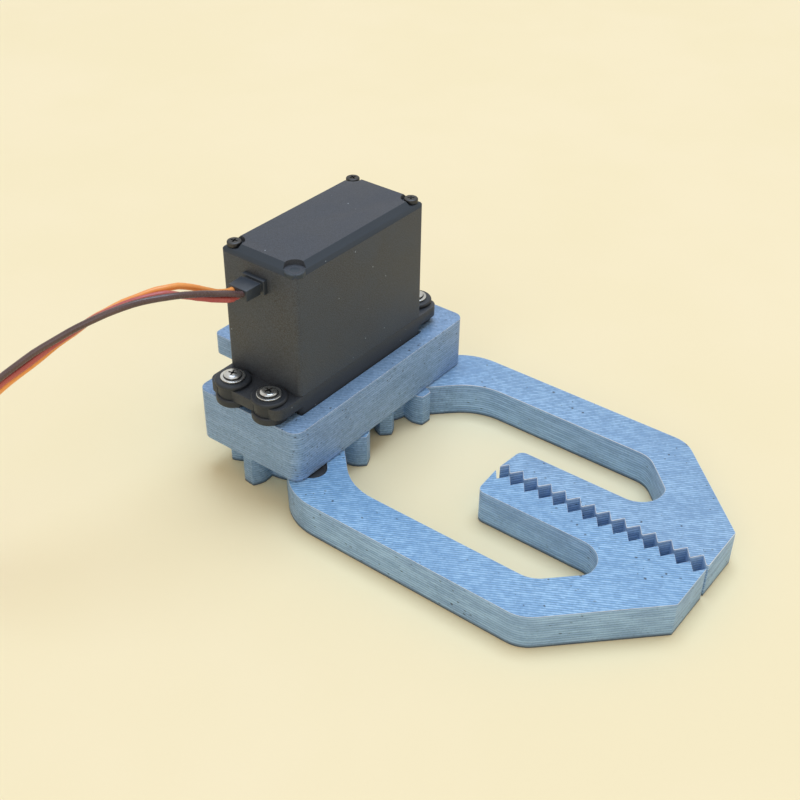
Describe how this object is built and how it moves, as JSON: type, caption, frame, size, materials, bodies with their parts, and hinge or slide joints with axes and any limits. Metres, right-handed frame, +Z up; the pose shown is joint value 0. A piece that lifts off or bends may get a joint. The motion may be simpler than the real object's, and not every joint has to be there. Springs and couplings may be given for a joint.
{
  "type": "electric two finger gripper",
  "caption": "Servo driven two finger gripper: toothed printed jaws with meshing gears under a bracket that carries an upturned servo and a wrist tab.",
  "frame": {"origin": "middle of the two wrist holes, on the upper face of the bracket's rear tab", "axes": "+X towards the finger tips, +Y from the driven jaw to the idler jaw, +Z up along the wrist holes"},
  "size_m": [0.1722, 0.1416, 0.054],
  "materials": {
    "printed": "satin",
    "servo_case": "matte",
    "horn": "satin",
    "rubber": "matte",
    "steel": "satin",
    "black_steel": "satin",
    "brass": "satin",
    "board": "satin",
    "chips": "matte",
    "sensor": "matte",
    "wire": "satin",
    "plug": "satin"
  },
  "bodies": {
    "frame": {"bracket": "printed", "gear_case": "servo_case", "mid_case": "servo_case", "base_cover": "servo_case", "cover_screws": "black_steel", "motor": "steel", "middle_pin": "steel", "output_bearing": "steel", "potentiometer": "sensor", "control_board": "board", "board_chips": "chips", "strain_relief": "servo_case", "grommets": "rubber", "eyelets": "brass", "flange_screws": "steel", "pivot_bolt": "steel", "pivot_washer": "steel", "pivot_nut": "steel", "lead": "wire", "lead_coil": "wire", "lead_tail": "wire", "plug_housing": "plug", "plug_contacts": "brass"},
    "drive": {"drive_jaw": "printed", "servo_horn": "horn", "horn_bolt": "steel", "horn_screws": "steel", "output_shaft": "brass"},
    "idler": {"idler_jaw": "printed"},
    "middle_gear_3": {"gear_3": "brass"},
    "middle_gear_2": {"gear_2": "brass"},
    "middle_gear_1": {"gear_1": "brass"},
    "motor_pinion": {"motor_shaft": "steel"}
  },
  "joints": [
    {"name": "drive_pivot", "type": "hinge", "parent": "frame", "child": "drive", "pos_m": [0.01895, -0.0135, -0.0165], "axis": [0, 0, 1], "range_deg": [-60, 0]},
    {"name": "idler_pivot", "type": "hinge", "parent": "frame", "child": "idler", "pos_m": [0.01895, 0.0135, -0.0165], "axis": [0, 0, 1], "range_deg": [0, 60]},
    {"name": "gear_3_spin", "type": "hinge", "parent": "frame", "child": "middle_gear_3", "pos_m": [0.01895, -0.0039, -0.002], "axis": [0, 0, 1], "range_deg": [0, 132.5]},
    {"name": "gear_2_spin", "type": "hinge", "parent": "frame", "child": "middle_gear_2", "pos_m": [0.01895, -0.0135, 0], "axis": [0, 0, 1], "range_deg": [-502.1, 0]},
    {"name": "gear_1_spin", "type": "hinge", "parent": "frame", "child": "middle_gear_1", "pos_m": [0.01895, -0.0039, 0.0015], "axis": [0, 0, 1], "range_deg": [0, 1906.58]},
    {"name": "motor_spin", "type": "hinge", "parent": "frame", "child": "motor_pinion", "pos_m": [0.01895, 0.0051, 0.01], "axis": [0, 0, 1], "range_deg": [-9530.9, 0]}
  ],
  "couplings": [
    {"joint": "idler_pivot", "follows": "drive_pivot", "ratio": -1},
    {"joint": "gear_3_spin", "follows": "drive_pivot", "ratio": -2.2},
    {"joint": "gear_2_spin", "follows": "drive_pivot", "ratio": 8.36},
    {"joint": "gear_1_spin", "follows": "drive_pivot", "ratio": -31.768},
    {"joint": "motor_spin", "follows": "drive_pivot", "ratio": 158.84}
  ]
}
